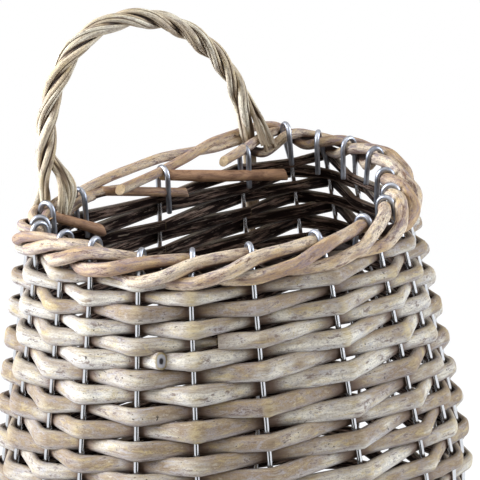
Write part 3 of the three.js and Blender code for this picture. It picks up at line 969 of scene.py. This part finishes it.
def row_stations(row, rng):
    """The corner, lean, height and side of a row at each stake."""
    drop = FIRST_ROW_DROP + ROW_PITCH * row
    corners, side = row_corners(row)
    shares = np.array(STAKE_SHARES)
    count = len(shares)
    lift = np.interp(row, LIFT_ROWS, ROW_LIFTS)
    level = hook_top - drop + lift + rise_at(drop, corners) + rng.uniform(-LEVEL_SPREAD, LEVEL_SPREAD, count)
    leans = unit(wall_point(shares, drop) - wall_point(shares, drop + LEAN_REACH))
    spread = np.interp(row, SPREAD_ROWS, ROW_SPREADS)
    slim = SLIM_LOSS * np.interp(shares, SLIM_SHARES, (0, 1, 1, 0))
    height = np.where(side > 0, OUTSIDE_HEIGHT, INSIDE_HEIGHT) + spread
    height = height + rng.uniform(-HEIGHT_SPREAD, HEIGHT_SPREAD, count) - slim
    return np.concatenate([corners, level[:, None]], 1), leans, height, side


def joints(row, side, rng):
    """Start and end of the two rods of a row, in stakes: inside the stakes, but for a few in the open."""
    places = []
    for near in (FRONT_JOINT_STAKES, BACK_JOINT_STAKES):
        inside = [stake for stake in near if side[stake] < 0]
        places.append(float(inside[rng.randint(len(inside))]))
    front_start, front_end = OPEN_JOINTS.get(row, (places[0], places[0]))
    return (front_start, places[1]), (places[1], front_end)


def weave(row):
    """One woven row: two split rods, creased where they bend over a stake, and brown and dark where they go
    in, from stains and painted shade.
    """
    rng = np.random.RandomState(ROW_SEED + row)
    corners, leans, height, side = row_stations(row, rng)
    count = len(corners)
    rods = Rods()
    for number, (start, end) in enumerate(joints(row, side, rng)):
        stub = row == STUB_ROW and number == 0
        end = end if end > start else end + count
        first, last = math.floor(start), math.ceil(end)
        stops = np.array([start] + list(range(first + 1, last)) + [end])
        order = np.arange(first - 1, last + 2)
        table = np.concatenate([corners, leans, height[:, None], side[:, None]], 1)[order % count]
        values = between(stops, order, table)
        bends = np.where(values[:, 7] > 0, FOLD, INSIDE_BEND)
        path, at = folded(values[:, :3], bends, ROD_SPACING)
        along = between(at, range(len(stops)), values[:, 3:])
        lean, tall, turned_out = along[:, :3], along[:, 3], along[:, 4]
        lengths = lengths_along(path)
        from_end = np.minimum(lengths, lengths[-1] - lengths)
        outward = np.cross(unit(lean), headings(path))
        outward = unit(outward + lean * sway(rng, lengths, *LEAN_SWAY)[:, None])

        from_stake = np.abs(at - np.round(at)) * ROD_SPAN
        crease = np.exp(-(from_stake / CREASE_WIDTH) ** 2) * (turned_out > CREASED_SIDE)
        strength = rng.uniform(*CREASE_STRENGTHS, len(stops)).clip(0, 1)[np.round(at).astype(int)]
        tall = tall / 2 * (1 + sway(rng, lengths, *TALL_SWAY) + CREASE_SHARE * crease * strength)
        across = 1 + sway(rng, lengths, *ACROSS_SWAY) - CREASE_SHARE * crease
        across = ROD_THICKNESS * ROD_ACROSS_SHARE * across
        taper = np.interp(from_end, (0, TAPER_LENGTH), (TAPER_SHARE, 1))
        # Darker where the rod turns in behind a stake: stains and painted shade in the recess
        stain = np.clip(INSIDE_STAIN_AND_SHADE - STAIN_AND_SHADE_SLOPE * (turned_out + 1), 0, INSIDE_STAIN_AND_SHADE)
        push = np.full(len(path), -ROD_THICKNESS * BACKSET_SHARE)
        if stub:
            push += STUB_REACH * np.clip(1 - lengths / STUB_LENGTH, 0, 1) ** 2
            taper[:] = 1.0
        elif row == MEETING_ROW and number == 0:
            push += TIP_REACH * np.clip(1 - lengths / TIP_LENGTH, 0, 1)
            taper *= np.interp(lengths, (0, TIP_LENGTH), (TIP_SHARE, 1))
            stain[lengths < TIP_LENGTH] = 0.0
        elif row == MEETING_ROW:
            butt = np.clip(1 - (lengths[-1] - lengths) / BUTT_LENGTH, 0, 1)
            push += BUTT_REACH * butt
            taper[butt > 0] = 1.0
            stain = np.maximum(stain, BUTT_STAIN * np.sqrt(butt))
        rods.add(path + outward * push[:, None], outward, across * taper, tall * taper, rng, sides=18,
                 stain=stain, fold=crease * strength, ridge=ROW_RIDGE, knots=rng.randint(*ROW_KNOTS),
                 flat_share=STUB_FLAT_SHARE if stub else FLAT_SHARE, square_share=SQUARE_SHARE,
                 pith=2.0 if stub else 1.0)
    rods.finish(f"weaver_row_{row + 1:02d}", "_split", body_willow, "split_willow")


# Rim

def back_share(share, least):
    """A share that is one at the front and the least along the back."""
    point = level_point(np.asarray(share, float), 0)
    forward = np.clip((wall_line - point[..., 1]) / (NEAR_WALL_SHARE * RIM_DEPTH), 0, 1)
    return least + (1 - least) * forward


def rim_stations(rod):
    """Where a rim rod goes: inside one stake and outside two, with its own ends at the back."""
    high = RIM_HOOK_DROP - RIM_CROSSING_RISE
    middle = RIM_HOOK_DROP + RIM_STROKE / 2
    cycle = (
        (-RIM_REACH, RIM_HOOK_DROP),
        (RIM_CROSSING_SHIFT, high - RIM_CROSSING_RISE),
        (RIM_REACH, high),
        (RIM_REACH + RIM_BULGE, high + RIM_STROKE / 2),
        (RIM_REACH, high + RIM_STROKE),
        (-RIM_CROSSING_SHIFT, RIM_HOOK_DROP + RIM_STROKE),
    )
    _, lengths = outline_at(0)
    beat = 2 * rod - 2
    beats = []
    for share, after in zip(ringed_shares, ringed_shares[1:]):
        beats.append((share, beat))
        if (after - share) * lengths[-1] >= PAIRED_SPAN:
            beats.append(((share + after) / 2, beat + 1))
            beat += 2
    start, end = RIM_ENDS[rod]
    stations = list(start)
    for share, beat in beats:
        if start[-1][0] < share < end[0][0]:
            offset, drop = cycle[beat % len(cycle)]
            stroke_share = back_share(share, RIM_BACK_STROKE_SHARE)
            stations.append((share, offset * back_share(share, RIM_BACK_OFFSET_SHARE),
                             middle + (drop - middle) * stroke_share))
    return stations + list(end)


def rim():
    """The three rim rods, with painted shade where they face the middle of the rim, and the loose rods
    beside them.
    """
    core_drop = RIM_HOOK_DROP + RIM_CORE_STROKE_SHARE * RIM_STROKE
    core = wall_point(np.linspace(0, 1, RIM_CORE_STEPS), core_drop, RIM_CORE_OFFSET)
    for rod, loose_rods in enumerate(LOOSE_RODS):
        rng = np.random.RandomState(RIM_SEED + rod)
        path = spaced(eased(wall_path(rim_stations(rod)), RIM_BEND), RIM_SPACING)
        near_wall = (0, NEAR_WALL_SHARE * RIM_DEPTH)
        radius_share = np.interp(wall_line - path[:, 1], near_wall, (RIM_BACK_RADIUS_SHARE, 1))
        radius = RIM_RADIUS * radius_share * (1 + sway(rng, lengths_along(path), *RIM_SWAY))
        # Painted shade on the faces that look towards the middle of the rim, where the rods press together
        cores = [(nearest_on(core, path), RIM_CREVICE_SHADE_REACH, np.ones(len(path)))]
        rods = Rods()
        rods.add_round(path, UPRIGHT, radius, rng, sides=18, ridge=RIM_RIDGE, knots=RIM_KNOTS, cores=cores,
                       slant=END_SLANT)
        for number, (size, bark, stations) in enumerate(loose_rods):
            rng = np.random.RandomState(LOOSE_SEED + 10 * rod + number)
            path = spaced(eased(wall_path(stations), LOOSE_BEND), RIM_SPACING)
            radius = size * (1 + sway(rng, np.arange(len(path)) * RIM_SPACING, *LOOSE_SWAY))
            rods.add_round(path, UPRIGHT, radius, rng, knots=1, bark=bark, slant=END_SLANT)
        rods.finish(f"rim_rod_{rod + 1:02d}", "_round", rim_willow, "rim_willow")


# Handle

def bezier(share):
    """The arch of the handle as one curve between its two feet."""
    ends = np.array([
        [HANDLE_LEFT, wall_line, hook_top],
        [HANDLE_LEFT + HANDLE_LEFT_LEAN, wall_line, hook_top + HANDLE_LEFT_RISE],
        [HANDLE_RIGHT + HANDLE_RIGHT_LEAN, wall_line, hook_top + HANDLE_RIGHT_RISE],
        [HANDLE_RIGHT, wall_line, hook_top],
    ])
    way = share[:, None]
    return (ends[0] * (1 - way) ** 3 + 3 * ends[1] * way * (1 - way) ** 2
            + 3 * ends[2] * way**2 * (1 - way) + ends[3] * way**3)


def fanned(from_tip, reach, spread):
    """How far a leg has fanned out along the strand, and how far apart its rods are there."""
    fan = smooth(np.clip(FAN_START - from_tip / reach, 0, 1))
    return fan, fan * np.interp(from_tip, (0, reach / 2, reach), (spread[0], spread[1], spread[1]))


def strand_rods(number, strand, path, left, right, arch):
    """The rods of one strand: twisted along the arch, and side by side where its legs fan out."""
    members = strand["rods"]
    lengths = np.arange(len(path)) * STRAND_STEP
    left_fan, left_aside = fanned(lengths, lengths[left], strand["left_spread"])
    from_right = lengths[-1] - lengths
    right_fan, right_aside = fanned(from_right, from_right[right], strand["right_spread"])
    fan = left_fan + right_fan
    together = 1 - fan
    middle = nearest_on(arch, path)
    sides = parallel_frames(path, np.array(HANDLE_SIDE))
    others = np.cross(headings(path), sides)
    rods = Rods()
    for member, (reach, turn, radius) in enumerate(members):
        rng = np.random.RandomState(HANDLE_SEED + number * 10 + member)
        spin = turn + lengths * 2 * math.pi / BUNDLE_TURN + number
        rope = sides * (reach * np.cos(spin))[:, None] + others * (reach * np.sin(spin))[:, None]
        place = (member - (len(members) - 1) / 2) * FAN_STEP + sway(rng, lengths, *FAN_WANDER)
        aside = (left_aside + right_aside) * place
        behind = fan * sway(rng, lengths, *FAN_DEPTH)
        line = path + rope * together[:, None] + np.stack([aside, behind, np.zeros_like(aside)], 1)
        kept = slice(rng.randint(0, RAGGED_STEPS), len(line) - rng.randint(0, RAGGED_STEPS))
        line = line[kept]
        # Painted shade: in the crevice at the rope's middle, in the grooves between the rods, and on the
        # wall side of fanned rods
        cores = [(middle[kept], ROPE_CREVICE_SHADE_REACH, together[kept])]
        if reach > GROOVED_REACH:
            behind_line = line + radius * np.array(WALL_SIDE)
            cores.append((path[kept], reach + strand["groove_shade_share"] * radius, together[kept]))
            cores.append((behind_line, WALL_SHADE_RADIUS_SHARE * radius, WALL_SHADE * fan[kept]))
        size = radius * (1 + sway(rng, lengths[kept], *HANDLE_SWAY))
        rods.add_round(line, HANDLE_SIDE, size, rng, sides=14, stain=RIGHT_FAN_STAIN * right_fan[kept],
                       knots=1, cores=cores)
    return rods


def handle():
    """The three strands, twisted into the arch, with their legs on the rim and down the wall."""
    to_wall = np.array([0, 1.0, 0])
    arch = spaced(bezier(np.linspace(0, 1, ARCH_STEPS)), ARCH_SPACING)
    inward = unit(np.cross(to_wall, headings(arch)))
    share = np.linspace(0, 1, len(arch))
    for number, strand in enumerate(STRANDS):
        angle = HANDLE_PHASE + 2 * math.pi * (number / len(STRANDS) + HANDLE_TURNS * share)
        spoke = inward * np.cos(angle)[:, None] + to_wall * np.sin(angle)[:, None]
        leaves_left, leaves_right = strand["leave_shares"]
        twist = (arch + spoke * ROPE_RADIUS)[(share >= leaves_left) & (share <= 1 - leaves_right)]
        path = np.concatenate([wall_path(strand["left"]), twist, wall_path(strand["right"][::-1])])
        path = spaced(eased(path, HANDLE_BEND), STRAND_STEP)
        left, right = (nearest(path, end) for end in twist[[0, -1]])
        rods = strand_rods(number, strand, path, left, right, arch)
        rods.finish(f"handle_strand_{number + 1:02d}", "_bundle", handle_willow, "handle_willow")


# Board

def board():
    """The board keeps its own solid and gets its material."""
    node = frame["nodes"]["base_board"]
    node.data.materials.clear()
    node.data.materials.append(plywood("plywood"))


# Surroundings

def direction(azimuth, elevation=0.0):
    """The way from the basket to a place at angles in degrees, measured from the front."""
    azimuth, elevation = math.radians(azimuth), math.radians(elevation)
    return Vector((math.sin(azimuth) * math.cos(elevation), -math.cos(azimuth) * math.cos(elevation),
                   math.sin(elevation)))


def world():
    """A warm fill for the basket, and white where the camera looks or a gloss or glass shows it."""
    studio = bpy.data.worlds.new("studio")
    bpy.context.scene.world = studio
    net = Net(studio)
    rays = net.node("ShaderNodeLightPath").outputs
    seen = net.math("MAXIMUM", rays["Is Camera Ray"], rays["Is Transmission Ray"])
    seen = net.math("MAXIMUM", seen, rays["Is Glossy Ray"])
    fill = net.out("ShaderNodeBackground", 0, {"Color": FILL_COLOUR, "Strength": FILL_STRENGTH})
    white = net.out("ShaderNodeBackground", 0, {"Color": WHITE, "Strength": 1.0})
    net.show("ShaderNodeOutputWorld", seen, fill, white)


def flat_stage(name, material, centre, half, up):
    """A flat piece of the surroundings, from its middle and the ways to two of its edges."""
    mesh = bpy.data.meshes.new(name)
    corners = [centre - half - up, centre + half - up, centre + half + up, centre - half + up]
    mesh.from_pydata(corners, [], [(0, 1, 2, 3)])
    mesh.materials.append(material)
    made = linked(name, mesh)
    return made


def floor():
    """A white floor that keeps the basket's shadow near it."""
    material = bpy.data.materials.new("floor")
    net = Net(material)
    rays = net.node("ShaderNodeLightPath").outputs
    seen = net.math("MAXIMUM", rays["Is Camera Ray"], rays["Is Glossy Ray"])
    spot = net.out("ShaderNodeTexCoord", "Object")
    away = net.out("ShaderNodeVectorMath", "Value", {0: spot}, operation="LENGTH")
    near, far = (length / METRE for length in FLOOR_FADE)
    share = net.times(seen, net.ramp(away, near, far, *FLOOR_GLOW_SHARES, shape="LINEAR"))
    matt = net.out("ShaderNodeBsdfDiffuse", 0, {"Color": FLOOR_COLOUR})
    glow = net.out("ShaderNodeEmission", 0, {"Color": WHITE, "Strength": 1.0})
    net.show("ShaderNodeOutputMaterial", share, matt, glow)
    reach = FLOOR_REACH / METRE
    flat_stage("floor", material, Vector(), Vector((reach, 0, 0)), Vector((0, reach, 0)))


def dark_card():
    """A dark card beside the camera that only shows as a dark line in the wires."""
    away = direction(CAMERA_AZIMUTH + CARD_TURN)
    half = away.cross(Vector(UPRIGHT)) * (CARD_WIDTH / METRE) / 2
    up = Vector(UPRIGHT) * (CARD_HEIGHT / METRE / 2)
    centre = aim + away * (CARD_DISTANCE / METRE)
    material, net, shader = painted("dark_card")
    net.put(shader, {"Base Color": CARD_COLOUR})
    card = flat_stage("dark_card", material, centre, half, up)
    card.visible_camera = False
    card.visible_diffuse = False
    card.visible_shadow = False


def facing(made, place, away):
    """Puts a lamp or the camera at its place, looking back the way it came."""
    made.location = place
    made.rotation_euler = away.to_track_quat("Z", "Y").to_euler()


def lamp(name, turn, elevation, size, power, tint):
    """A square lamp that faces the middle of the basket."""
    away = direction(CAMERA_AZIMUTH + turn, elevation)
    data = bpy.data.lights.new(name, "AREA")
    data.shape = "SQUARE"
    data.size = size / METRE
    data.energy = power
    data.color = tint
    facing(linked(name, data), aim + away * (LAMP_DISTANCE / METRE), away)


def camera():
    """The camera of the photograph."""
    away = direction(CAMERA_AZIMUTH, CAMERA_ELEVATION)
    target = Vector(CAMERA_TARGET) + Vector((0, wall_line, hook_top))
    data = bpy.data.cameras.new("camera")
    data.sensor_width = SENSOR
    data.lens = FOCAL_PIXELS * SENSOR / IMAGE_PIXELS
    data.clip_end = FARTHEST / METRE
    made = linked("camera", data)
    facing(made, (target + away * CAMERA_DISTANCE) / METRE, away)
    bpy.context.scene.camera = made


camera()
stakes()
for row in range(ROW_COUNT):
    weave(row)
rim()
handle()
board()
world()
floor()
dark_card()
for name, values in LAMPS.items():
    lamp(name, *values)
bpy.context.scene.view_settings.view_transform = "Standard"
